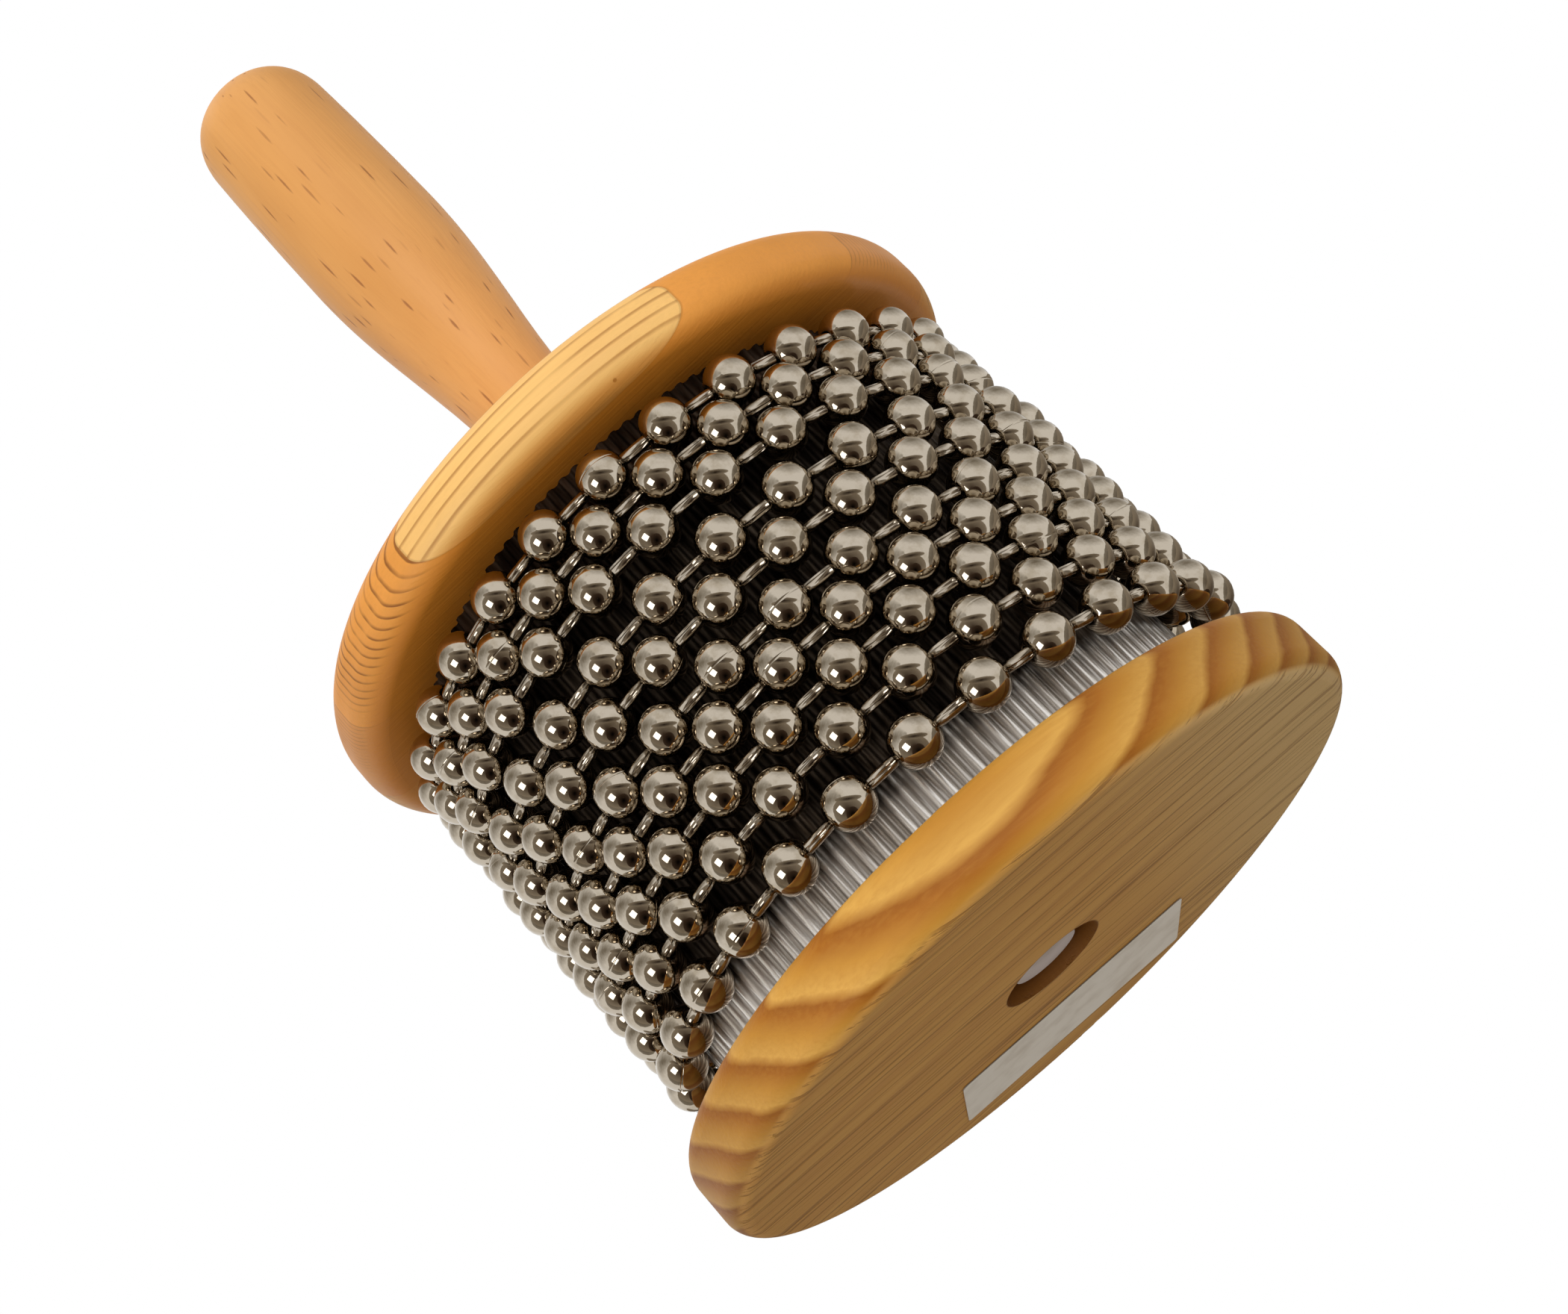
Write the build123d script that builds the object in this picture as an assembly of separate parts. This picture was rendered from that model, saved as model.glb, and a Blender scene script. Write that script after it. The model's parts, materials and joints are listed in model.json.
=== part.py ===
from build123d import *
import os
from math import asin, ceil, cos, degrees, pi, radians, sin, sqrt

# Cabasa, standing on its end disc: a wooden drum wrapped in corrugated sheet steel, ringed by loose
# loops of ball chain, with a turned handle. Millimetres. The Z axis is the drum's axis, +Z towards
# the handle, and the origin is the centre of the end disc's outer face. X runs along the staves of
# the handle disc.

# Wooden discs
end_disc_diameter = 98.0
handle_disc_diameter = 96.0
end_disc_thickness = 10.0
end_disc_round = 2.6
handle_disc_thickness = 9.0
handle_disc_round = 3.6
stave_width = 19.2
edge_stave_width = 5.0
least_stave_width = 4.0

# Drum core and its sheet steel sleeve
core_diameter = 74.0
sheet_thickness = 0.4
ridge_pitch = 2.0
ridge_height = 0.6
seam_margin = 4.0
seam_gap = 0.5
sleeve_clearance = 0.1

# Tacks beside the sleeve's seam
tack_diameter = 1.0
tack_head_diameter = 2.2
tack_head_height = 0.25
tack_length = 8.0
tack_end_distance = 5.0
tacks_per_side = 3
tack_clearance = 0.04

# Ball chain: hollow beads on headed rods
bead_diameter = 6.3
bead_wall = 0.35
link_shown_length = 2.95
link_rod_diameter = 1.5
link_hole_diameter = 1.8
link_head_diameter = 2.6
link_head_thickness = 0.5
link_clearance = 0.1
loop_clearance = 0.2
loop_turn = 8.1

# How the loops lie along the drum, from the handle disc down. Each row is one nest of loops whose
# beads sit in the gaps of the next loop, and holds the slack of every loop after the nest's first.
# The loops of a nest are wider than the sleeve by its play, and hang off to one side by as much.
handle_side_gap = 2.3
nests = [[0.09, 0.24], [0.81, 1.41, 0.41, 0.5, 0.91], []]
nest_plays = [0.6, 1.2, 1.7]
hang_angle = 45.0
bare_strip = 5.55

# Handle, with heights above the handle disc
handle_length = 90.5
foot_diameter = 17.0
foot_slope = 0.1
neck_diameter = 14.4
neck_height = 20.0
bulge_diameter = 21.1
bulge_height = 57.0
tip_diameter = 20.2
tip_length = 8.5
tenon_diameter = 12.0
tenon_depth = 20.0
tenon_clearance = 0.1

# Long screw through the drum into the handle
screw_diameter = 5.0
screw_bite = 14.0
screw_head_diameter = 9.4
screw_head_height = 3.2
screw_head_crown = 0.3
screw_head_sunk = 0.95
screw_clearance = 0.25
pilot_clearance = 0.05
counterbore_diameter = 14.6

# Sleeve radii, from the core outwards
core_radius = core_diameter / 2
sheet_valley = core_radius + sleeve_clearance + sheet_thickness
sheet_middle = sheet_valley + ridge_height / 2
sheet_crest = sheet_valley + ridge_height

# Chain loops: as many whole beads as go round the sleeve
bead_radius = bead_diameter / 2
cavity_radius = bead_radius - bead_wall
snug_radius = sheet_crest + loop_clearance + bead_radius
bead_count = int(pi / asin((bead_diameter + link_shown_length) / (2 * snug_radius)))
bead_angle = 360 / bead_count
free_pitch = bead_diameter + loop_clearance


def nest_pitch(radius):
    """Least distance along the drum of two loops whose beads are half a step apart."""
    half_step = 2 * radius * sin(radians(bead_angle / 4))
    return sqrt(max(free_pitch ** 2 - half_step ** 2, 0))


# Play of each loop, and its distance below the handle disc
loop_plays = []
loop_depths = []
for play, nest in zip(nest_plays, nests):
    loop_plays += [play] * (1 + len(nest))
    if loop_depths:
        loop_depths.append(loop_depths[-1] + free_pitch)
    else:
        loop_depths.append(handle_side_gap + bead_radius)
    for slack in nest:
        loop_depths.append(loop_depths[-1] + nest_pitch(snug_radius + play) + slack)

# Heights along the axis
core_bottom = end_disc_thickness
drum_length = loop_depths[-1] + bead_radius + bare_strip
core_top = core_bottom + drum_length
handle_bottom = core_top + handle_disc_thickness
handle_top = handle_bottom + handle_length
tenon_bottom = core_top - tenon_depth
counterbore_depth = screw_head_sunk + screw_head_height
screw_tip = tenon_bottom + screw_bite

# Middle of the flat margin beside the seam, measured round the axis from +Y
margin_angle = degrees((seam_gap + seam_margin) / 2 / sheet_middle)


def rod(radius, bottom, top):
    """A cylinder on the Z axis between two heights."""
    body = Cylinder(radius, top - bottom, align=(Align.CENTER, Align.CENTER, Align.MIN))
    return Pos(0, 0, bottom) * body


def round_disc(diameter, bottom, thickness, edge_round):
    """A turned disc with both of its rims rounded over."""
    disc = rod(diameter / 2, bottom, bottom + thickness)
    return fillet(disc.edges(), min(edge_round, 0.45 * thickness))


def end_disc():
    disc = round_disc(end_disc_diameter, 0, end_disc_thickness, end_disc_round)
    disc -= rod(counterbore_diameter / 2, 0, counterbore_depth)
    disc -= rod(screw_diameter / 2 + screw_clearance, 0, end_disc_thickness)
    return disc


def handle_disc_staves():
    """The handle disc cut along its glue lines, from the near rim at -Y to the far rim."""
    disc_radius = handle_disc_diameter / 2
    disc = round_disc(handle_disc_diameter, core_top, handle_disc_thickness, handle_disc_round)
    disc -= rod(tenon_diameter / 2 + tenon_clearance, core_top, handle_bottom)
    lines = [-disc_radius, edge_stave_width - disc_radius]
    while lines[-1] + stave_width < disc_radius - least_stave_width:
        lines.append(lines[-1] + stave_width)
    lines.append(disc_radius)
    staves = []
    for near, far in zip(lines, lines[1:]):
        strip = Box(handle_disc_diameter, far - near, handle_disc_thickness)
        middle = Pos(0, (near + far) / 2, core_top + handle_disc_thickness / 2)
        staves.append(disc & middle * strip)
    return staves


def tack_places():
    """Frames on the core's side beside the seam, with Z pointing out of the drum."""
    span = drum_length - 2 * tack_end_distance
    places = []
    for side in (-1, 1):
        for row in range(tacks_per_side):
            height = core_bottom + tack_end_distance + span * row / (tacks_per_side - 1)
            places.append(Pos(0, 0, height) * Rot(Z=90 + side * margin_angle) * Rot(Y=90))
    return places


def tack_holes(bottom):
    hole = rod(tack_diameter / 2 + tack_clearance, bottom, sheet_crest)
    return [place * hole for place in tack_places()]


def tacks():
    """Flat-headed tacks, driven through the sleeve's margins into the core."""
    seat = sheet_middle + tack_clearance
    tack = rod(tack_diameter / 2, sheet_middle - tack_length, seat)
    tack += rod(tack_head_diameter / 2, seat, seat + tack_head_height)
    return [place * tack for place in tack_places()]


def drum_core():
    core = rod(core_radius, core_bottom, core_top)
    core -= rod(tenon_diameter / 2 + tenon_clearance, tenon_bottom, core_top)
    core -= rod(screw_diameter / 2 + screw_clearance, core_bottom, tenon_bottom)
    return core - tack_holes(sheet_middle - tack_length)


def around(radius, angle):
    """A point on a circle about the axis, the angle in degrees from +Y."""
    return (radius * cos(radians(90 + angle)), radius * sin(radians(90 + angle)))


def wave(middle, ends, ridge_count):
    """Edges of one side of the sheet: a flat margin, the ridges and another flat margin."""
    first, last = ends
    step = (last - first) / (2 * ridge_count)
    edge_angle = degrees(seam_gap / 2 / sheet_middle)
    edges = [ThreePointArc(around(middle, edge_angle), around(middle, margin_angle), around(middle, first))]
    for half in range(2 * ridge_count):
        lean = 1 if half % 2 == 0 else -1
        start = first + half * step
        peak = around(middle + lean * ridge_height / 2, start + step / 2)
        edges.append(ThreePointArc(around(middle, start), peak, around(middle, start + step)))
    far_margin = 360 - margin_angle
    far_edge = 360 - edge_angle
    edges.append(ThreePointArc(around(middle, last), around(middle, far_margin), around(middle, far_edge)))
    return edges


def steel_sleeve():
    """One corrugated sheet rolled round the core, its two edges meeting at a seam on +Y."""
    first = degrees((seam_gap / 2 + seam_margin) / sheet_middle)
    ends = (first, 360 - first)
    ridge_count = ceil(radians(ends[1] - ends[0]) * sheet_middle / ridge_pitch)
    outside = wave(sheet_middle, ends, ridge_count)
    inside = wave(sheet_middle - sheet_thickness, ends, ridge_count)
    near_edge = Line(outside[0] @ 0, inside[0] @ 0)
    far_edge = Line(outside[-1] @ 1, inside[-1] @ 1)
    section = Face(Wire(outside + [far_edge] + inside + [near_edge]))
    sleeve = Pos(0, 0, core_bottom) * extrude(section, drum_length, dir=(0, 0, 1))
    return sleeve - tack_holes(core_radius)


def bead(radius):
    """A hollow ball on +X at the loop's radius, open towards its two neighbours."""
    ball = Sphere(bead_radius) - Sphere(cavity_radius)
    hole = rod(link_hole_diameter / 2, 0, bead_diameter)
    for side in (-1, 1):
        ball -= Rot(Z=side * bead_angle / 2) * Rot(X=-side * 90) * hole
    return Pos(radius, 0, 0) * ball


def link(radius):
    """A headed rod between two neighbouring beads, its heads trapped inside them."""
    head_radius = link_head_diameter / 2
    seat = sqrt(cavity_radius ** 2 - head_radius ** 2) - link_clearance
    reach = radius * sin(radians(bead_angle / 2)) - seat
    dumbbell = rod(link_rod_diameter / 2, -reach, reach)
    dumbbell += rod(head_radius, reach, reach + link_head_thickness)
    dumbbell += rod(head_radius, -reach - link_head_thickness, -reach)
    middle = radius * cos(radians(bead_angle / 2))
    return Rot(Z=bead_angle / 2) * Pos(middle, 0, 0) * Rot(X=90) * dumbbell


def ring(piece, centre, turn):
    """Copies of a piece round the middle of a loop."""
    return [centre * Rot(Z=turn + index * bead_angle) * piece for index in range(bead_count)]


def handle():
    """A turned grip with a waist above the disc, and a tenon that runs down into the core."""
    tip_shoulder = handle_length - tip_length
    upright = (0, 1)
    waist = Spline(
        (foot_diameter / 2, 0),
        (neck_diameter / 2, neck_height),
        (bulge_diameter / 2, bulge_height),
        tangents=((-foot_slope, 1), upright),
    )
    taper = Spline(
        (bulge_diameter / 2, bulge_height),
        (tip_diameter / 2, tip_shoulder),
        tangents=(upright, (tip_diameter - bulge_diameter, tip_shoulder - bulge_height)),
    )
    crown = Spline(
        (tip_diameter / 2, tip_shoulder),
        (0, handle_length),
        tangents=(taper % 1, (-1, 0)),
    )
    outline = [waist, taper, crown, Line((0, handle_length), (0, 0))]
    outline.append(Line((0, 0), (foot_diameter / 2, 0)))
    section = Plane.XZ * Face(Wire(outline))
    grip = Pos(0, 0, handle_bottom) * revolve(section, Axis.Z)
    grip += rod(tenon_diameter / 2, tenon_bottom, handle_bottom)
    return grip - rod(screw_diameter / 2 + pilot_clearance, tenon_bottom, screw_tip)


def assembly_screw():
    """Round-headed screw: the plain crown of its head faces out of the counterbore."""
    head_radius = screw_head_diameter / 2
    crown = min(screw_head_crown, 0.8 * screw_head_height)
    dome_radius = (head_radius ** 2 + crown ** 2) / (2 * crown)
    halfway = head_radius / 2
    halfway_drop = dome_radius - sqrt(dome_radius ** 2 - halfway ** 2)
    top = screw_head_sunk
    side = Line((head_radius, counterbore_depth), (head_radius, top + crown))
    dome = ThreePointArc((head_radius, top + crown), (halfway, top + halfway_drop), (0, top))
    outline = [side, dome, Line((0, top), (0, counterbore_depth))]
    outline.append(Line((0, counterbore_depth), (head_radius, counterbore_depth)))
    head = revolve(Plane.XZ * Face(Wire(outline)), Axis.Z)
    return head + rod(screw_diameter / 2, counterbore_depth, screw_tip)


def save(node, solids):
    export_step(Compound(label=node, children=solids), f"parts/{node}.step")


os.makedirs("parts", exist_ok=True)
save("end_disc", [end_disc()])
save("drum_core", [drum_core()])
save("steel_sleeve", [steel_sleeve()])
save("sleeve_tacks", tacks())
save("handle", [handle()])
save("assembly_screw", [assembly_screw()])
for number, stave in enumerate(handle_disc_staves(), start=1):
    save(f"handle_disc_stave_{number}", [stave])
for number, (play, depth) in enumerate(zip(loop_plays, loop_depths), start=1):
    radius = snug_radius + play
    across = play * cos(radians(hang_angle))
    back = play * sin(radians(hang_angle))
    centre = Pos(across, back, core_top - depth)
    turn = loop_turn + (number % 2) * bead_angle / 2 - degrees(across / radius)
    save(f"chain_loop_{number:02d}_beads", ring(bead(radius), centre, turn))
    save(f"chain_loop_{number:02d}_links", ring(link(radius), centre, turn))
    print("loop", number, "centre", [round(value, 4) for value in (across, back, core_top - depth)])

print("beads in a loop", bead_count, "drum length", round(drum_length, 3), "height", round(handle_top, 2))
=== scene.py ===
import json
from math import asin, cos, pi, radians, sin, sqrt
from typing import NamedTuple

import bpy
import numpy as np
from mathutils import Matrix, Vector

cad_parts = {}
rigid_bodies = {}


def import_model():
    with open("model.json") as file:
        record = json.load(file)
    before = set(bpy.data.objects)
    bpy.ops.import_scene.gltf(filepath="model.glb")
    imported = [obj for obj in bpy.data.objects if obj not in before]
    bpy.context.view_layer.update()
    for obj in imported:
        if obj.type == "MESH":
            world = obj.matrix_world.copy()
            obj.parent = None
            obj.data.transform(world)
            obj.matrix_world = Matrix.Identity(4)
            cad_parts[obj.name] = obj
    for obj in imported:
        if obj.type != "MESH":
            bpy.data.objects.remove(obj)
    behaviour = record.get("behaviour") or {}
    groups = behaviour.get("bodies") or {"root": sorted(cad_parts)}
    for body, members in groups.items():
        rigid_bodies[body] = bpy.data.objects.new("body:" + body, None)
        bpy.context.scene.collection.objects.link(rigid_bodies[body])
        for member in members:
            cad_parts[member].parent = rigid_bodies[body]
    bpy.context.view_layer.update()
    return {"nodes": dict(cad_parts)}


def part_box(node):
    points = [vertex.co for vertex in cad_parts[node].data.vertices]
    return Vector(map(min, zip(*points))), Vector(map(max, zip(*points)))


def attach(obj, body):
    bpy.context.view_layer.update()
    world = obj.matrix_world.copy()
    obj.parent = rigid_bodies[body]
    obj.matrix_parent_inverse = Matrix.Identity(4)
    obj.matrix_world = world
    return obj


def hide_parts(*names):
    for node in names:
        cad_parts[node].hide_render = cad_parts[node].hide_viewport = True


# Cabasa, dressed for the camera: lacquered wood, corrugated steel and loops of plated ball chain.
# Metres, in the frame of the CAD model: +Z along the drum towards the handle, -Y towards the camera.

for leftover in list(bpy.data.objects):
    bpy.data.objects.remove(leftover)
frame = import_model()
MM = 0.001

# Camera
CAMERA_PLACE = Vector((0.003056, -0.299765, -0.063921))
CAMERA_RIGHT = Vector((0.72441, 0.25308, -0.64122)).normalized()
CAMERA_UP = Vector((0.68929, -0.25948, 0.67641)).normalized()
CAMERA_BACK = CAMERA_RIGHT.cross(CAMERA_UP).normalized()
CAMERA_LENS_MM = 58.29
CAMERA_SENSOR_MM = 36.0
CAMERA_SHIFT = (0.0034, -0.0004)
CAMERA_CLIP_START = 0.01

# Ball chain
RANDOM_SEED = 28
LOOP_COUNT = 10
BEAD_COUNT = 28
LOOP_TURN = radians(8.1)
BEAD_STEP = 2 * pi / BEAD_COUNT
BEAD_WALL = 0.35 * MM
HOLE_RADIUS = 0.9 * MM
LIP_ROUND = 0.1 * MM
LIP_MIDDLE = 0.3 * LIP_ROUND
SEAM_DEPTH = 0.07 * MM
SEAM_HALF_ANGLE = radians(1.6)
DENT = 0.03 * MM
LEAN_FROM = 0.15
LEAN_OVER = 0.7
BEAD_MERIDIANS = 32
BEAD_RINGS = 15
CAVITY_RINGS = 6
ROD_RADIUS = 0.73 * MM
ROD_SLIT_HALF_ANGLE = radians(11)
ROD_SLIT_DEPTH = 0.4 * MM
ROD_SLIT_TURN = (-0.6, 1.1)
ROD_MERIDIANS = 20
HEAD_RADIUS = 1.3 * MM
HEAD_TIP_RADIUS = 0.02 * HEAD_RADIUS
HEAD_THICKNESS = 0.5 * MM
HEAD_CLEARANCE = 0.1 * MM

# Depth of the grain that shows through the lacquer
LACQUER_RELIEF = 0.06 * MM

# End disc: a plank whose growth rings run about a pith line outside it
RING_TURN = radians(4)
FACE_GRAIN_TURN = radians(13)
PITH_ACROSS_MM = 5.0
PITH_DEPTH_MM = -27.0
OUTER_RING_MM = 63.3
RING_WIDTH_MM = 4.65
COUNTERBORE_RADIUS_MM = 7.3

# Paper label on the end face
LABEL_SIZE = (37.4 * MM, 18.4 * MM)
LABEL_CENTRE = (-2.5 * MM, 29.2 * MM)
LABEL_TURN = radians(11)
LABEL_THICKNESS = 0.12 * MM
LABEL_CORNER = 0.8 * MM
LABEL_CURL = 0.1 * MM
LABEL_GLUE = 0.01 * MM
LABEL_CORNER_STEPS = 6
LABEL_RING_SHARES = (1.0, 0.985, 0.9, 0.7, 0.4, 0.02)

# Stage
DRUM_MIDDLE = Vector((0, 0, 0.045))
FLOOR_HEIGHT = -0.5 * MM
FLOOR_HALF_SIZE = 3.0
FILL_LEVEL = 0.38
CARD_COLUMNS = 24
CARD_ROWS = 24


def srgb(red, green, blue):
    """A colour written as a screen shows it, 0 to 255, as the linear values that shaders take."""
    linear = []
    for value in (red, green, blue):
        share = value / 255
        linear.append(share / 12.92 if share <= 0.04045 else ((share + 0.055) / 1.055) ** 2.4)
    return (*linear, 1.0)


class Graph:
    """A material's nodes, added one at a time. A socket can be fed a plain value or another socket."""

    def __init__(self, name):
        self.material = bpy.data.materials.new(name)
        self.material.use_nodes = True
        self.nodes = self.material.node_tree.nodes
        self.links = self.material.node_tree.links
        self.shader = self.nodes["Principled BSDF"]

    def feed(self, socket, value):
        if isinstance(value, bpy.types.NodeSocket):
            self.links.new(value, socket)
        else:
            socket.default_value = value

    def add(self, kind, inputs=(), **settings):
        node = self.nodes.new("ShaderNode" + kind)
        for key, value in settings.items():
            setattr(node, key, value)
        for key, value in dict(inputs).items():
            self.feed(node.inputs[key], value)
        return node

    def surface(self, **inputs):
        """Sets the shader's sockets; an underscore in a name stands for a space."""
        for key, value in inputs.items():
            self.feed(self.shader.inputs[key.replace("_", " ")], value)

    def math(self, operation, first, second=0.0):
        return self.add("Math", {0: first, 1: second}, operation=operation).outputs[0]

    def millimetres(self):
        """Place on the piece in millimetres, in the piece's own frame."""
        coordinates = self.add("TexCoord").outputs["Object"]
        scaled = self.add("VectorMath", {0: coordinates, "Scale": 1 / MM}, operation="SCALE")
        return scaled.outputs[0]

    def stretched(self, place, per_mm):
        """Place multiplied axis by axis, so that a texture's grains grow long where per_mm is small."""
        return self.add("VectorMath", {0: place, 1: per_mm}, operation="MULTIPLY").outputs[0]

    def turned(self, place, angle):
        """Place turned about the piece's Z axis."""
        node = self.add("VectorRotate", {"Vector": place, "Angle": angle}, rotation_type="Z_AXIS")
        return node.outputs["Vector"]

    def noise(self, place, per_mm, detail=3.0, roughness=0.55):
        grain = {"Vector": self.stretched(place, per_mm), "Scale": 1.0}
        return self.add("TexNoise", {**grain, "Detail": detail, "Roughness": roughness}).outputs["Fac"]

    def cells(self, place, per_mm):
        """Distance to the nearest of many scattered points, and a random number for that point."""
        spots = self.add("TexVoronoi", {"Vector": self.stretched(place, per_mm), "Scale": 1.0})
        chance = self.add("SeparateColor", {"Color": spots.outputs["Color"]}).outputs["Red"]
        return spots.outputs["Distance"], chance

    def ramp(self, value, *stops):
        """Colour or grey by value: each stop is a place from 0 to 1 and a colour or a number."""
        node = self.add("ValToRGB", {"Fac": value})
        elements = node.color_ramp.elements
        while len(elements) < len(stops):
            elements.new(0.5)
        for element, (place, shade) in zip(elements, stops):
            element.position = place
            element.color = shade if isinstance(shade, tuple) else (shade, shade, shade, 1.0)
        return node.outputs["Color"]

    def step(self, value, low, high):
        """0 below low, 1 above high and a smooth rise between; low above high turns it round."""
        inputs = {"Value": value, "From Min": low, "From Max": high}
        return self.add("MapRange", inputs, interpolation_type="SMOOTHSTEP").outputs["Result"]

    def mix(self, share, first, second):
        """The colour sockets of a Mix node are numbers 6 and 7, and its colour comes out at number 2."""
        return self.add("Mix", {0: share, 6: first, 7: second}, data_type="RGBA").outputs[2]

    def tint(self, colour, mask, strength, shade):
        """Colour drawn towards a shade, as far as strength says in places where the mask is 1."""
        return self.mix(self.math("MULTIPLY", mask, strength), colour, shade)

    def bump(self, height, depth):
        """A normal for the shader from a height between 0 and 1 and its depth in metres."""
        node = self.add("Bump", {"Height": height, "Distance": depth, "Strength": 1.0})
        return node.outputs["Normal"]


def lacquered(graph, colour, height, roughness, shine):
    """Satin lacquer over wood, its sheen broken a little by the grain."""
    uneven = graph.add("MapRange", {"Value": height, "To Min": roughness + 0.12, "To Max": roughness})
    graph.surface(Base_Color=colour, Roughness=uneven.outputs["Result"], Specular_IOR_Level=shine)
    graph.surface(Normal=graph.bump(height, LACQUER_RELIEF))
    return graph.material


def axes(graph, place):
    split = graph.add("SeparateXYZ", {"Vector": place})
    return split.outputs["X"], split.outputs["Y"], split.outputs["Z"]


def distance_to(graph, first, second, first_centre=0.0, second_centre=0.0):
    """Distance from a line along the third axis, by the other two coordinates."""
    squares = []
    for value, centre in ((first, first_centre), (second, second_centre)):
        offset = graph.math("SUBTRACT", value, centre)
        squares.append(graph.math("MULTIPLY", offset, offset))
    return graph.math("SQRT", graph.math("ADD", *squares))


def handle_beech():
    """Beech: warm and even, with thin short flecks along the grain."""
    graph = Graph("handle_beech")
    place = graph.millimetres()
    cloud = graph.noise(place, (0.07, 0.07, 0.02), detail=2.0)
    colour = graph.ramp(
        cloud,
        (0.3, srgb(214, 148, 72)),
        (0.55, srgb(226, 160, 84)),
        (0.75, srgb(233, 170, 98)),
    )
    fibre = graph.noise(place, (1.6, 1.6, 0.06), detail=4.0)
    colour = graph.tint(colour, graph.step(fibre, 0.4, 0.8), 0.4, srgb(212, 144, 70))
    near, chance = graph.cells(place, (1.1, 1.1, 0.09))
    wavy = graph.math("ADD", near, graph.math("MULTIPLY", graph.noise(place, (0.9, 0.9, 0.4)), 0.16))
    fleck = graph.math("MULTIPLY", graph.step(wavy, 0.33, 0.18), graph.step(chance, 0.15, 0.7))
    colour = graph.tint(colour, fleck, 0.8, srgb(150, 84, 30))
    height = graph.math("SUBTRACT", fibre, graph.math("MULTIPLY", fleck, 0.6))
    return lacquered(graph, colour, height, 0.42, 0.6)


def plank_ring(graph, grain):
    """How far a place lies through its growth ring, from 0 at the ring's dark edge to 1."""
    across, depth = axes(graph, grain)[1:]
    from_pith = distance_to(graph, across, depth, PITH_ACROSS_MM, PITH_DEPTH_MM)
    sway = graph.math("MULTIPLY", graph.noise(grain, (0.02, 0.06, 0.06), detail=2.0), 2.4)
    ragged = graph.math("MULTIPLY", graph.noise(grain, (0.1, 0.7, 0.7), detail=4.0), 0.6)
    radius = graph.math("ADD", from_pith, graph.math("ADD", sway, ragged))
    ring = graph.math("DIVIDE", graph.math("SUBTRACT", OUTER_RING_MM, radius), RING_WIDTH_MM)
    return graph.math("FRACT", ring)


def end_disc_pine(thickness_mm):
    """Flat-sawn pine: each growth ring starts with a dark edge and fades to light. The rings slant
    across the rim and run as lines over the faces."""
    graph = Graph("end_disc_pine")
    place = graph.millimetres()
    right, near, depth = axes(graph, place)
    grain = graph.turned(place, -FACE_GRAIN_TURN)
    colour = graph.ramp(
        plank_ring(graph, graph.turned(place, -RING_TURN)),
        (0.0, srgb(150, 86, 12)),
        (0.14, srgb(164, 99, 20)),
        (0.45, srgb(194, 136, 48)),
        (0.82, srgb(216, 163, 76)),
        (1.0, srgb(154, 90, 14)),
    )
    fibre = graph.noise(grain, (0.03, 2.2, 2.2), detail=4.0)
    colour = graph.tint(colour, graph.step(fibre, 0.35, 0.75), 0.3, srgb(184, 124, 40))

    # Painted shade: the disc drawn darker towards both ends along X, where the rim turns from the light.
    side = graph.step(graph.math("ABSOLUTE", right), 16.0, 48.0)
    colour = graph.tint(colour, side, 0.36, srgb(128, 80, 24))
    end_face = graph.step(depth, 0.8, 0.25)
    colour = graph.tint(colour, end_face, 0.74, srgb(212, 154, 74))
    # Painted sheen: the end face drawn paler and greyer towards +X, as a glancing reflection of the white
    # surroundings.
    pale = graph.math("MULTIPLY", end_face, graph.step(right, 5.0, 45.0))
    colour = graph.tint(colour, pale, 0.6, srgb(222, 190, 128))
    fine = graph.noise(grain, (0.009, 1.1, 0.8), detail=4.0, roughness=0.7)
    fine_line = graph.step(fine, 0.46, 0.38)
    ring_line = graph.step(plank_ring(graph, grain), 0.11, 0.02)
    patchy = graph.step(graph.noise(grain, (0.05, 0.12, 0.12), detail=2.0), 0.3, 0.6)
    broken_line = graph.math("MULTIPLY", ring_line, patchy)
    groove = graph.math("MAXIMUM", graph.math("MULTIPLY", fine_line, 0.8), broken_line)
    groove = graph.math("MULTIPLY", groove, end_face)
    colour = graph.tint(colour, groove, 0.7, srgb(128, 80, 28))

    # Painted shade: the face against the drum drawn darker.
    shaded_drum_face = graph.step(depth, thickness_mm - 0.2, thickness_mm - 0.05)
    colour = graph.tint(colour, shaded_drum_face, 0.45, srgb(112, 76, 38))
    from_axis = distance_to(graph, right, near)
    # The counterbore's wall drawn dark brown: end grain, darkened further as painted shade in the recess.
    bore = graph.step(from_axis, COUNTERBORE_RADIUS_MM + 0.25, COUNTERBORE_RADIUS_MM - 0.05)
    colour = graph.mix(bore, colour, srgb(122, 72, 18))
    height = graph.math("SUBTRACT", fibre, graph.math("MULTIPLY", groove, 1.5))
    return lacquered(graph, colour, height, 0.48, 0.25)


class StaveLook(NamedTuple):
    """One stave's wood: where its growth rings centre and how they show."""
    pith_across: float
    pith_along: float
    ring_width: float
    light: tuple
    dark: tuple
    strength: float
    fade_right: tuple
    fade_across: tuple


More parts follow.
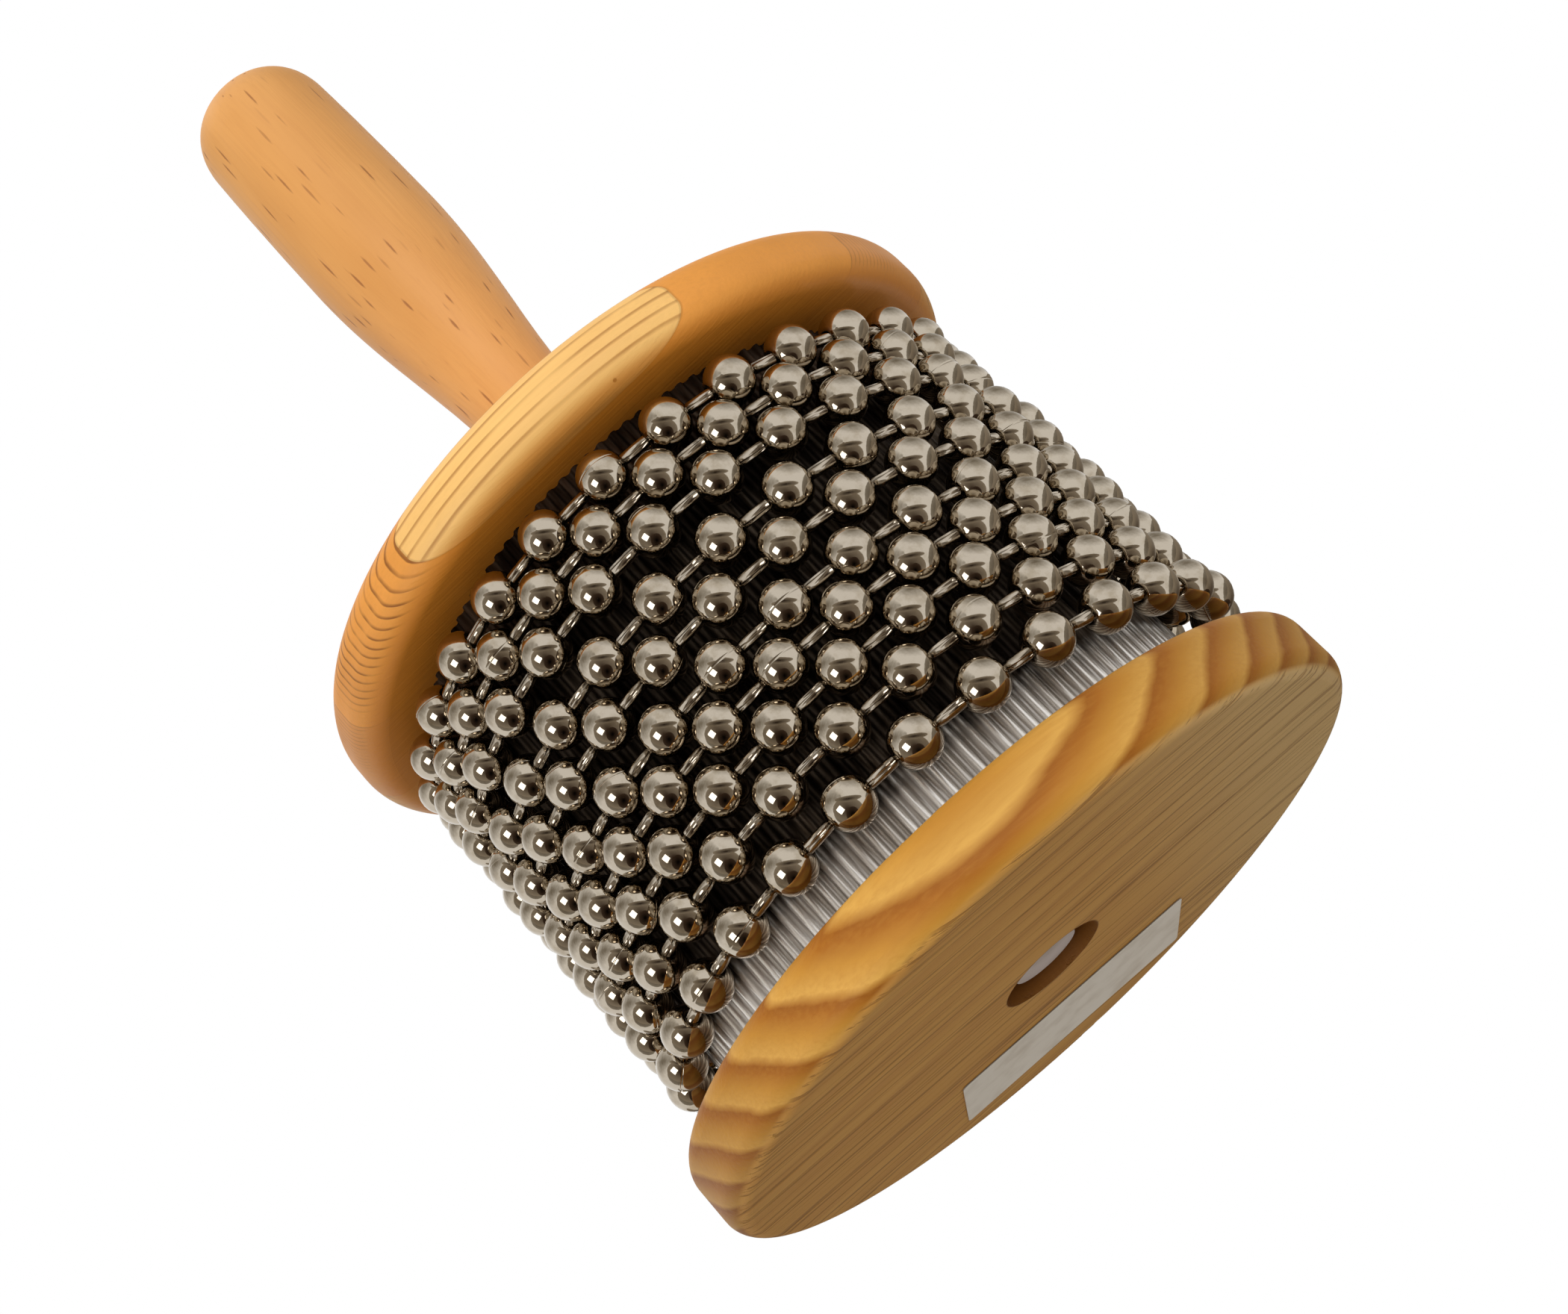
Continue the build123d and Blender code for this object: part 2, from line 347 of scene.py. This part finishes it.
def stave_wood(name, look, inner_face_mm, glue_lines):
    """One stave: thin growth rings about its own pith line along X, with painted shade, a deep saturated
    orange, on the inner face.
    """
    graph = Graph(name)
    place = graph.millimetres()
    right, across, depth = axes(graph, place)
    from_pith = distance_to(graph, across, depth, look.pith_across, look.pith_along)
    sway = graph.math("MULTIPLY", graph.noise(place, (0.03, 0.1, 0.1), detail=2.0), 0.9)
    turns = graph.math("DIVIDE", graph.math("ADD", from_pith, sway), look.ring_width)
    line = graph.ramp(
        graph.math("FRACT", turns), (0.0, 0.0), (0.66, 0.06), (0.86, 1.0), (0.93, 1.0), (1.0, 0.0)
    )
    patchy = graph.step(graph.noise(place, (0.05, 0.3, 0.3), detail=2.0), 0.2, 0.55)
    fade_right = graph.step(right, *look.fade_right)
    fade = graph.math("MULTIPLY", fade_right, graph.step(across, *look.fade_across))
    # Mask of the inner face, which gets painted shade below and weaker ring lines.
    inner = graph.step(depth, inner_face_mm + 1.6, inner_face_mm + 0.1)
    fade = graph.math("MULTIPLY", fade, graph.math("SUBTRACT", look.strength, inner))
    line = graph.math("MULTIPLY", graph.math("MULTIPLY", line, patchy), graph.math("MAXIMUM", fade, 0.0))
    cloud = graph.noise(place, (0.03, 0.12, 0.12), detail=2.0)
    shaded = tuple(0.85 * a + 0.15 * b for a, b in zip(look.light, look.dark))
    colour = graph.ramp(cloud, (0.3, shaded), (0.7, look.light))
    fibre = graph.noise(place, (0.05, 2.2, 2.2), detail=4.0)
    colour = graph.tint(colour, graph.step(fibre, 0.4, 0.8), 0.6, shaded)
    colour = graph.mix(line, colour, look.dark)
    near, chance = graph.cells(place, (0.2, 0.2, 0.2))
    pin = graph.math("MULTIPLY", graph.step(near, 0.07, 0.04), graph.step(chance, 0.6, 0.62))
    colour = graph.tint(colour, pin, 0.8, srgb(92, 50, 16))
    for edge in glue_lines:
        gap = graph.math("ABSOLUTE", graph.math("SUBTRACT", across, edge))
        glue = graph.step(gap, 0.16, 0.04)
        colour = graph.tint(colour, glue, 0.3, srgb(120, 72, 26))
    # Painted shade: the inner face drawn a deeper, more saturated orange.
    colour = graph.tint(colour, inner, 0.75, srgb(206, 124, 26))
    height = graph.math("SUBTRACT", fibre, graph.math("MULTIPLY", line, 0.4))
    return lacquered(graph, colour, height, 0.42, 0.35)


def core_wood():
    """Raw sawn wood of the drum's core."""
    graph = Graph("core_wood")
    place = graph.millimetres()
    fibre = graph.noise(place, (1.2, 1.2, 0.05), detail=5.0)
    colour = graph.ramp(fibre, (0.3, srgb(150, 104, 60)), (0.7, srgb(190, 142, 90)))
    graph.surface(Base_Color=colour, Roughness=0.75, Normal=graph.bump(fibre, 0.1 * MM))
    return graph.material


def steel(name, light, dark, gloss, metallic=1.0):
    """Bare or plated steel with fine unevenness and dull stains."""
    graph = Graph(name)
    place = graph.millimetres()
    uneven = graph.noise(place, (0.8, 0.8, 0.8), detail=5.0)
    stain = graph.noise(place, (0.12, 0.12, 0.12), detail=4.0)
    colour = graph.mix(graph.step(stain, 0.4, 0.7), light, dark)
    roughness = graph.add("MapRange", {"Value": uneven, "To Min": gloss - 0.08, "To Max": gloss + 0.1})
    graph.surface(Base_Color=colour, Metallic=metallic, Roughness=roughness.outputs["Result"])
    graph.surface(Normal=graph.bump(uneven, 0.02 * MM))
    return graph.material


def corrugated_steel(crest_mm, chain_from_mm):
    """Sheet steel, bright where it is bare, with painted shade in its valleys and painted shade, near black
    and rougher, under the chain.
    """
    graph = Graph("corrugated_steel")
    place = graph.millimetres()
    right, near, height = axes(graph, place)
    streaks = graph.noise(place, (0.3, 0.3, 0.05), detail=2.0)
    bare = graph.ramp(
        streaks,
        (0.32, srgb(186, 179, 170)),
        (0.5, srgb(222, 217, 210)),
        (0.68, srgb(244, 241, 236)),
    )
    # Painted shade: the valleys of the corrugation drawn darker.
    valley_shade = graph.step(distance_to(graph, right, near), crest_mm - 0.12, crest_mm - 0.5)
    bare = graph.tint(bare, valley_shade, 0.55, srgb(104, 92, 80))
    # Painted shade: under the chain the steel is drawn near black, for the shade between and behind the
    # beads.
    chain_shade_colour = graph.ramp(streaks, (0.4, srgb(34, 28, 24)), (0.65, srgb(88, 77, 66)))
    edge = graph.math("ADD", height, graph.math("MULTIPLY", graph.noise(place, (0.4, 0.4, 0.25)), 4.0))
    chain_shade = graph.step(edge, chain_from_mm + 3.2, chain_from_mm + 6.0)
    roughness = graph.add("MapRange", {"Value": chain_shade, "To Min": 0.3, "To Max": 0.5})
    metal = graph.add("MapRange", {"Value": chain_shade, "To Min": 0.8, "To Max": 1.0})
    graph.surface(Base_Color=graph.mix(chain_shade, bare, chain_shade_colour), Metallic=metal.outputs["Result"])
    graph.surface(Roughness=roughness.outputs["Result"])
    return graph.material


def plating(name, light, dark, gloss):
    """Polished nickel plating with faint smudges and wipe marks."""
    graph = Graph(name)
    place = graph.millimetres()
    smudge = graph.noise(place, (0.5, 0.5, 0.5), detail=4.0)
    colour = graph.mix(graph.step(smudge, 0.45, 0.75), light, dark)
    wipe = graph.noise(place, (3.0, 3.0, 3.0), detail=3.0)
    wiped = {"Value": wipe, "From Min": 0.3, "From Max": 0.8}
    roughness = graph.add("MapRange", {**wiped, "To Min": gloss, "To Max": gloss + 0.08})
    graph.surface(Base_Color=colour, Metallic=1.0, Roughness=roughness.outputs["Result"])
    return graph.material


def label_paper():
    """Plain uncoated paper, a little grey at places."""
    graph = Graph("label_paper")
    place = graph.millimetres()
    pulp = graph.noise(place, (3.0, 3.0, 3.0), detail=5.0)
    handling = graph.noise(place, (0.15, 0.15, 0.15), detail=3.0)
    colour = graph.mix(graph.step(handling, 0.4, 0.75), srgb(232, 220, 202), srgb(212, 197, 176))
    graph.surface(Base_Color=colour, Roughness=0.85, Normal=graph.bump(pulp, 0.02 * MM))
    return graph.material


def dress(node, material):
    slots = frame["nodes"][node].data.materials
    slots.clear()
    slots.append(material)


def dress_cad_nodes():
    """Materials for the nodes that the scene shows as the CAD made them."""
    chain_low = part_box(f"chain_loop_{LOOP_COUNT:02d}_beads")[0].z / MM
    dress("end_disc", end_disc_pine(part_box("end_disc")[1].z / MM))
    dress("handle", handle_beech())
    dress("drum_core", core_wood())
    dress("steel_sleeve", corrugated_steel(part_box("steel_sleeve")[1].x / MM, chain_low))
    screw_steel = steel("screw_steel", srgb(214, 198, 188), srgb(188, 170, 158), 0.5, metallic=0.15)
    dress("assembly_screw", screw_steel)
    dress("sleeve_tacks", steel("tack_steel", srgb(165, 162, 158), srgb(120, 116, 110), 0.32))
    dress_handle_disc()


def dress_handle_disc():
    """Each stave has its own wood; a glue line darkens the edges where it meets the next stave."""
    disc_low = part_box("handle_disc_stave_1")[0].z / MM
    disc_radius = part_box("handle_disc_stave_6")[1].y
    whole = (70.0, 60.0)
    looks = [
        StaveLook(-46, disc_low - 70, 1.65, srgb(246, 194, 114), srgb(164, 102, 36), 0.7, whole, whole),
        StaveLook(
            -61, disc_low + 4.8, 1.1, srgb(232, 154, 64), srgb(128, 70, 16), 0.85, (-2, -22), (-25, -30)
        ),
        StaveLook(-40, disc_low + 4, 0.8, srgb(220, 146, 66), srgb(140, 82, 26), 0.4, whole, (-12, -18)),
        StaveLook(12, disc_low + 30, 1.6, srgb(226, 164, 84), srgb(150, 90, 30), 0.6, whole, whole),
        StaveLook(30, disc_low - 6, 1.5, srgb(218, 152, 74), srgb(146, 86, 28), 0.7, whole, whole),
        StaveLook(44, disc_low + 40, 1.8, srgb(230, 172, 92), srgb(156, 96, 34), 0.6, whole, whole),
    ]
    for number, look in enumerate(looks, start=1):
        node = f"handle_disc_stave_{number}"
        low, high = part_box(node)
        glued = [y / MM for y in (low.y, high.y) if abs(y) < 0.98 * disc_radius]
        dress(node, stave_wood(node, look, disc_low, glued))


def rolled(profile, angles, notch, notch_depth):
    """Rings of points for each (radius, height) of a profile, one point per angle, about local Y.
    The angle at index notch is drawn in by notch_depth where the profile says so."""
    rings = []
    for radius, height, notched in profile:
        radii = np.full(len(angles), radius)
        if notched:
            radii[notch] -= notch_depth
        heights = np.full(len(angles), height)
        rings.append(np.column_stack([radii * np.cos(angles), heights, radii * np.sin(angles)]))
    return np.array(rings)


def notched_angles(count, half_angle):
    """Angles round a full turn with three close together at zero, for a seam or slit."""
    clear = 2.5 * half_angle
    spread = np.linspace(clear, 2 * pi - clear, count)
    return np.concatenate([[-half_angle, 0.0, half_angle], spread])


def skin(ring_count, point_count, closed):
    """Quads between neighbouring rings, and from the last ring back to the first if closed."""
    faces = []
    for ring in range(ring_count if closed else ring_count - 1):
        after = (ring + 1) % ring_count
        for point in range(point_count):
            beside = (point + 1) % point_count
            faces.append((
                ring * point_count + point,
                ring * point_count + beside,
                after * point_count + beside,
                after * point_count + point,
            ))
    return faces


def capped_skin(ring_count, point_count):
    """A skin from the first ring to the last, with a face over each of the two."""
    faces = skin(ring_count, point_count, closed=False)
    last = ring_count * point_count
    faces.append(tuple(range(point_count)))
    faces.append(tuple(range(last - 1, last - point_count - 1, -1)))
    return faces


def bead_profile(radius):
    """Outside of a hollow ball from one hole to the other, and back through its cavity."""
    cavity = radius - BEAD_WALL
    outer_edge = asin((HOLE_RADIUS + LIP_ROUND) / radius)
    inner_edge = asin(HOLE_RADIUS / cavity)
    lip_height = radius * cos(outer_edge)
    profile = []
    for polar in np.linspace(outer_edge, pi - outer_edge, BEAD_RINGS):
        profile.append((radius * sin(polar), radius * cos(polar), True))
    profile.append((HOLE_RADIUS + LIP_MIDDLE, -lip_height + LIP_MIDDLE, False))
    profile.append((HOLE_RADIUS, -lip_height + LIP_ROUND, False))
    for polar in np.linspace(pi - inner_edge, inner_edge, CAVITY_RINGS):
        profile.append((cavity * sin(polar), cavity * cos(polar), False))
    profile.append((HOLE_RADIUS, lip_height - LIP_ROUND, False))
    profile.append((HOLE_RADIUS + LIP_MIDDLE, lip_height - LIP_MIDDLE, False))
    return profile


def turned_about_y(points, angle):
    x, y, z = points[..., 0], points[..., 1], points[..., 2]
    return np.stack([x * cos(angle) + z * sin(angle), y, z * cos(angle) - x * sin(angle)], axis=-1)


def leaning_holes(points, radius):
    """Turns each half of a ball about Z, most at its hole, so that both holes face the next links."""
    x, y = points[..., 0], points[..., 1]
    share = np.clip(np.abs(y) / radius, 0, 1)
    ease = np.clip((share - LEAN_FROM) / LEAN_OVER, 0, 1)
    ease = ease * ease * (3 - 2 * ease)
    angle = np.sign(y) * ease * BEAD_STEP / 2
    leaned = points.copy()
    leaned[..., 0] = x * np.cos(angle) - y * np.sin(angle)
    leaned[..., 1] = x * np.sin(angle) + y * np.cos(angle)
    return leaned


def dented(rings, angles, radius, chance):
    """Slow uneven swells over the outside of a ball, as stamping and wear leave."""
    outside = rings[:BEAD_RINGS]
    polar_share = np.sin(np.linspace(0, pi, BEAD_RINGS))[:, None]
    swell = np.zeros((BEAD_RINGS, len(angles)))
    for waves in (1, 2, 3):
        across = chance.uniform(0, 2 * pi)
        along = chance.uniform(0, 2 * pi)
        rows = np.linspace(0, pi, BEAD_RINGS)[:, None] * (waves + 1) + along
        swell += chance.uniform(-1, 1) * np.cos(waves * angles + across) * np.cos(rows) / waves
    outside *= (1 + swell * polar_share * DENT / radius)[..., None]
    return rings


def around_loop(points, angle, radius, centre):
    """Moves points from a bead's or link's own frame to its place on the loop."""
    x = points[..., 0] + radius
    y = points[..., 1]
    return np.stack([
        x * cos(angle) - y * sin(angle) + centre.x,
        x * sin(angle) + y * cos(angle) + centre.y,
        points[..., 2] + centre.z,
    ], axis=-1)


def add_object(name, data):
    item = bpy.data.objects.new(name, data)
    bpy.context.scene.collection.objects.link(item)
    return item


def new_piece(name, points, faces, body, material, smooth=True):
    mesh = bpy.data.meshes.new(name)
    mesh.from_pydata(points.tolist(), [], faces)
    mesh.validate()
    if smooth:
        mesh.shade_smooth()
    mesh.materials.append(material)
    piece = add_object(name, mesh)
    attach(piece, body)
    return piece


def repeated(copies, faces, name, body, material):
    """One piece of many copies of a mesh that all have the same faces."""
    per_copy = copies[0].reshape(-1, 3).shape[0]
    points = np.concatenate([copy.reshape(-1, 3) for copy in copies])
    all_faces = []
    for index in range(len(copies)):
        all_faces += [tuple(corner + index * per_copy for corner in face) for face in faces]
    return new_piece(name, points, all_faces, body, material)


class Loop(NamedTuple):
    """Where one loop of chain lies, read from its beads in the CAD model."""
    body: str
    centre: Vector
    radius: float
    bead_radius: float
    turn: float


def measured_loop(number):
    body = f"chain_loop_{number:02d}"
    low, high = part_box(f"{body}_beads")
    bead_radius = (high.z - low.z) / 2
    centre = (low + high) / 2
    mesh = frame["nodes"][f"{body}_beads"].data
    places = np.empty(len(mesh.vertices) * 3, np.float32)
    mesh.vertices.foreach_get("co", places)
    reach = np.hypot(places[0::3] - centre.x, places[1::3] - centre.y).max()
    radius = float(reach) - bead_radius
    turn = LOOP_TURN + (number % 2) * BEAD_STEP / 2 - centre.x / radius
    return Loop(body, centre, radius, bead_radius, turn)


def loop_beads(loop, material, chance):
    """Hollow balls with a seam, each dented and turned in its own way."""
    profile = bead_profile(loop.bead_radius)
    angles = notched_angles(BEAD_MERIDIANS, SEAM_HALF_ANGLE)
    beads = []
    for index in range(BEAD_COUNT):
        ball = rolled(profile, angles, 1, SEAM_DEPTH)
        ball = dented(ball, angles, loop.bead_radius, chance)
        ball = turned_about_y(ball, chance.uniform(0, 2 * pi))
        ball = leaning_holes(ball, loop.bead_radius)
        beads.append(around_loop(ball, loop.turn + index * BEAD_STEP, loop.radius, loop.centre))
    faces = skin(len(profile), len(angles), closed=True)
    piece = repeated(beads, faces, f"{loop.body}_balls", loop.body, material)
    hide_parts(f"{loop.body}_beads")


def loop_links(loop, material, chance):
    """Rods rolled from sheet, with an open slit and a head inside each of the two beads."""
    cavity = loop.bead_radius - BEAD_WALL
    chord = loop.radius * sin(BEAD_STEP / 2)
    reach = chord - sqrt(cavity ** 2 - HEAD_RADIUS ** 2) + HEAD_CLEARANCE
    rod = [
        (HEAD_TIP_RADIUS, -reach - HEAD_THICKNESS, False),
        (HEAD_RADIUS, -reach - HEAD_THICKNESS, False),
        (HEAD_RADIUS, -reach, False),
        (ROD_RADIUS, -reach, True),
        (ROD_RADIUS, 0.0, True),
        (ROD_RADIUS, reach, True),
        (HEAD_RADIUS, reach, False),
        (HEAD_RADIUS, reach + HEAD_THICKNESS, False),
        (HEAD_TIP_RADIUS, reach + HEAD_THICKNESS, False),
    ]
    angles = notched_angles(ROD_MERIDIANS, ROD_SLIT_HALF_ANGLE)
    middle = loop.radius * cos(BEAD_STEP / 2)
    links = []
    for index in range(BEAD_COUNT):
        link = turned_about_y(rolled(rod, angles, 1, ROD_SLIT_DEPTH), chance.uniform(*ROD_SLIT_TURN))
        links.append(around_loop(link, loop.turn + (index + 0.5) * BEAD_STEP, middle, loop.centre))
    faces = capped_skin(len(rod), len(angles))
    piece = repeated(links, faces, f"{loop.body}_rods", loop.body, material)
    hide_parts(f"{loop.body}_links")


def ball_chain():
    chance = np.random.default_rng(RANDOM_SEED)
    bead_material = plating("bead_plating", srgb(190, 179, 162), srgb(168, 155, 135), 0.04)
    link_material = plating("link_plating", srgb(186, 175, 159), srgb(158, 145, 127), 0.1)
    for number in range(1, LOOP_COUNT + 1):
        loop = measured_loop(number)
        loop_beads(loop, bead_material, chance)
        loop_links(loop, link_material, chance)


def paper_label():
    """A blank paper label stuck to the end face, its corners rounded and lifting a little."""
    width, length = LABEL_SIZE
    outline = []
    for corner_x, corner_y, start in ((1, 1, 0), (-1, 1, 90), (-1, -1, 180), (1, -1, 270)):
        for step in range(LABEL_CORNER_STEPS + 1):
            angle = radians(start + 90 * step / LABEL_CORNER_STEPS)
            x = corner_x * (width / 2 - LABEL_CORNER) + LABEL_CORNER * cos(angle)
            y = corner_y * (length / 2 - LABEL_CORNER) + LABEL_CORNER * sin(angle)
            outline.append((x, y))
    outline = np.array(outline)
    shape = np.concatenate([outline * share for share in LABEL_RING_SHARES])
    corner_share = np.abs(shape[:, 0] / (width / 2)) ** 8 * np.abs(shape[:, 1] / (length / 2)) ** 4
    drop = -LABEL_THICKNESS - LABEL_CURL * corner_share
    x = shape[:, 0] * cos(LABEL_TURN) - shape[:, 1] * sin(LABEL_TURN) + LABEL_CENTRE[0]
    y = shape[:, 0] * sin(LABEL_TURN) + shape[:, 1] * cos(LABEL_TURN) + LABEL_CENTRE[1]
    shown = np.column_stack([x, y, drop])
    glued = np.column_stack([x, y, np.where(corner_share > 0.2, drop + LABEL_THICKNESS, -LABEL_GLUE)])
    points = np.concatenate([shown[::-1], glued])
    faces = capped_skin(2 * len(LABEL_RING_SHARES), len(outline))
    new_piece("paper_label", points, faces, "drum", label_paper(), smooth=False)


def camera():
    data = bpy.data.cameras.new("photo_camera")
    data.lens = CAMERA_LENS_MM
    data.sensor_width = CAMERA_SENSOR_MM
    data.shift_x, data.shift_y = CAMERA_SHIFT
    data.clip_start = CAMERA_CLIP_START
    eye = add_object("photo_camera", data)
    turn = Matrix((CAMERA_RIGHT, CAMERA_UP, CAMERA_BACK)).transposed().to_4x4()
    eye.matrix_world = Matrix.Translation(CAMERA_PLACE) @ turn
    bpy.context.scene.camera = eye


def mirrored_by_bead(right, down):
    """The direction that a bead facing the camera mirrors at a place on its round face, whose edge
    is at 1."""
    share = min(sqrt(right ** 2 + down ** 2), 0.999)
    if share == 0:
        return CAMERA_BACK.copy()
    bend = 2 * asin(share)
    sideways = (CAMERA_RIGHT * right - CAMERA_UP * down) / share
    return CAMERA_BACK * cos(bend) + sideways * sin(bend)


def area_light(name, direction, distance, size, level, mirrored=True):
    """A square soft light aimed at the drum. At level 1 it lights a facing white surface to white."""
    data = bpy.data.lights.new(name, "AREA")
    data.size = size
    data.energy = level * (pi * distance) ** 2
    lamp = add_object(name, data)
    lamp.location = DRUM_MIDDLE + direction.normalized() * distance
    lamp.rotation_mode = "QUATERNION"
    lamp.rotation_quaternion = direction.to_track_quat("Z", "Y")
    lamp.visible_camera = False
    lamp.visible_glossy = mirrored


def lights():
    front = CAMERA_RIGHT * -0.15 + CAMERA_UP * 0.45 + CAMERA_BACK * 0.85
    area_light("front_soft", front, 1.0, 0.7, 0.62, mirrored=False)
    area_light("key_left", mirrored_by_bead(-0.28, 0.2), 0.4, 0.16, 0.2)
    area_light("right_window", mirrored_by_bead(0.8, 0.3), 1.0, 0.12, 0.04)
    area_light("overhead", Vector((-0.4, -0.1, 1.0)), 1.1, 0.5, 0.32, mirrored=False)
    area_light("back_soft", Vector((0.5, 0.9, 0.9)), 1.1, 0.5, 0.3, mirrored=False)


def world():
    """White to the camera and in reflections, and a softer fill for everything else."""
    sky = bpy.data.worlds.new("studio")
    bpy.context.scene.world = sky
    sky.use_nodes = True
    nodes, links = sky.node_tree.nodes, sky.node_tree.links
    background = nodes["Background"]
    background.inputs["Color"].default_value = (1, 1, 1, 1)
    path = nodes.new("ShaderNodeLightPath")
    seen = path.outputs["Is Camera Ray"]
    for other in ("Is Glossy Ray", "Is Transmission Ray"):
        either = nodes.new("ShaderNodeMath")
        either.operation = "MAXIMUM"
        links.new(seen, either.inputs[0])
        links.new(path.outputs[other], either.inputs[1])
        seen = either.outputs[0]
    level = nodes.new("ShaderNodeMapRange")
    links.new(seen, level.inputs["Value"])
    level.inputs["To Min"].default_value = FILL_LEVEL
    level.inputs["To Max"].default_value = 1.0
    links.new(level.outputs["Result"], background.inputs["Strength"])


def floor():
    """A pale floor that shows from above and takes the shadow, and lets the end face be seen from below."""
    mesh = bpy.data.meshes.new("floor")
    half = FLOOR_HALF_SIZE
    outline = [(-half, -half), (half, -half), (half, half), (-half, half)]
    mesh.from_pydata([(x, y, FLOOR_HEIGHT) for x, y in outline], [], [(0, 1, 2, 3)])
    graph = Graph("floor_paint")
    place = graph.millimetres()
    mottle = graph.noise(place, (0.01, 0.01, 0.01), detail=2.0)
    graph.surface(Base_Color=graph.ramp(mottle, (0.3, srgb(238, 238, 236)), (0.7, srgb(246, 246, 245))))
    graph.surface(Roughness=0.9, Specular_IOR_Level=0.1)
    below = graph.add("NewGeometry").outputs["Backfacing"]
    open_below = graph.add("MixShader", {0: below, 1: graph.shader.outputs[0]})
    graph.feed(open_below.inputs[2], graph.add("BsdfTransparent").outputs[0])
    graph.feed(graph.nodes["Material Output"].inputs["Surface"], open_below.outputs[0])
    mesh.materials.append(graph.material)
    ground = add_object("floor", mesh)
    ground.visible_diffuse = False
    ground.visible_glossy = False
    ground.visible_shadow = False


def reflection_card(name, centre, half_size, tilt, inner, outer, distance, behind):
    """A card round the object that only polished surfaces see, placed by where on a bead's face its
    mirror image lies. It shades from inner to outer; behind puts it on the far side of the drum."""
    row_shares = np.arange(CARD_ROWS + 1) / CARD_ROWS
    points = []
    for share in row_shares.tolist():
        for column in range(CARD_COLUMNS):
            angle = 2 * pi * column / CARD_COLUMNS
            along = half_size[0] * share * cos(angle)
            across = half_size[1] * share * sin(angle)
            right = centre[0] + along * cos(tilt) - across * sin(tilt)
            down = centre[1] + along * sin(tilt) + across * cos(tilt)
            place = DRUM_MIDDLE + mirrored_by_bead(right, down) * distance
            if behind:
                place.x, place.y = -place.x, -place.y
            points.append(place)
    mesh = bpy.data.meshes.new(name)
    mesh.from_pydata(points, [], skin(CARD_ROWS + 1, CARD_COLUMNS, closed=False))
    shares = mesh.attributes.new("share", "FLOAT", "POINT")
    shares.data.foreach_set("value", np.repeat(row_shares, CARD_COLUMNS))
    graph = Graph(name)
    uneven = graph.noise(graph.millimetres(), (0.003, 0.003, 0.003), detail=3.0)
    outward = graph.add("Attribute", attribute_name="share").outputs["Fac"]
    shade = graph.math("ADD", outward, graph.math("MULTIPLY", graph.math("SUBTRACT", uneven, 0.5), 0.5))
    glow = graph.add("Emission", {"Color": graph.ramp(shade, (0.1, inner), (0.95, outer))})
    graph.feed(graph.nodes["Material Output"].inputs["Surface"], glow.outputs[0])
    mesh.materials.append(graph.material)
    card = add_object(name, mesh)
    card.visible_camera = False
    card.visible_diffuse = False
    card.visible_transmission = False
    card.visible_shadow = False


def reflection_cards():
    """What polished metal mirrors besides white walls: a dim ceiling, a brown room, a shelf, a curtain
    and a dark doorway."""
    white = srgb(255, 255, 255)
    dim = srgb(150, 144, 134)
    grey = srgb(156, 146, 132)
    shade = srgb(104, 94, 82)
    brown = srgb(66, 52, 42)
    line = srgb(58, 48, 40)
    black = srgb(8, 5, 4)
    cards = [
        ("ceiling", (0.05, -0.85), (0.8, 0.35), 0.0, dim, white, 1.9),
        ("room", (-0.04, 0.19), (0.48, 0.39), 0.0, brown, grey, 0.46),
        ("shelf", (-0.05, -0.16), (0.43, 0.09), radians(-9), line, grey, 0.44),
        ("curtain", (0.8, -0.1), (0.28, 0.6), 0.0, shade, dim, 1.95),
        ("doorway", (0.1, 0.32), (0.2, 0.25), 0.0, black, brown, 0.43),
    ]
    for side, behind in (("front", False), ("back", True)):
        for name, *shape in cards:
            reflection_card(f"{side}_{name}", *shape, behind)


dress_cad_nodes()
ball_chain()
paper_label()
camera()
lights()
world()
floor()
reflection_cards()
bpy.context.scene.view_settings.view_transform = "Standard"
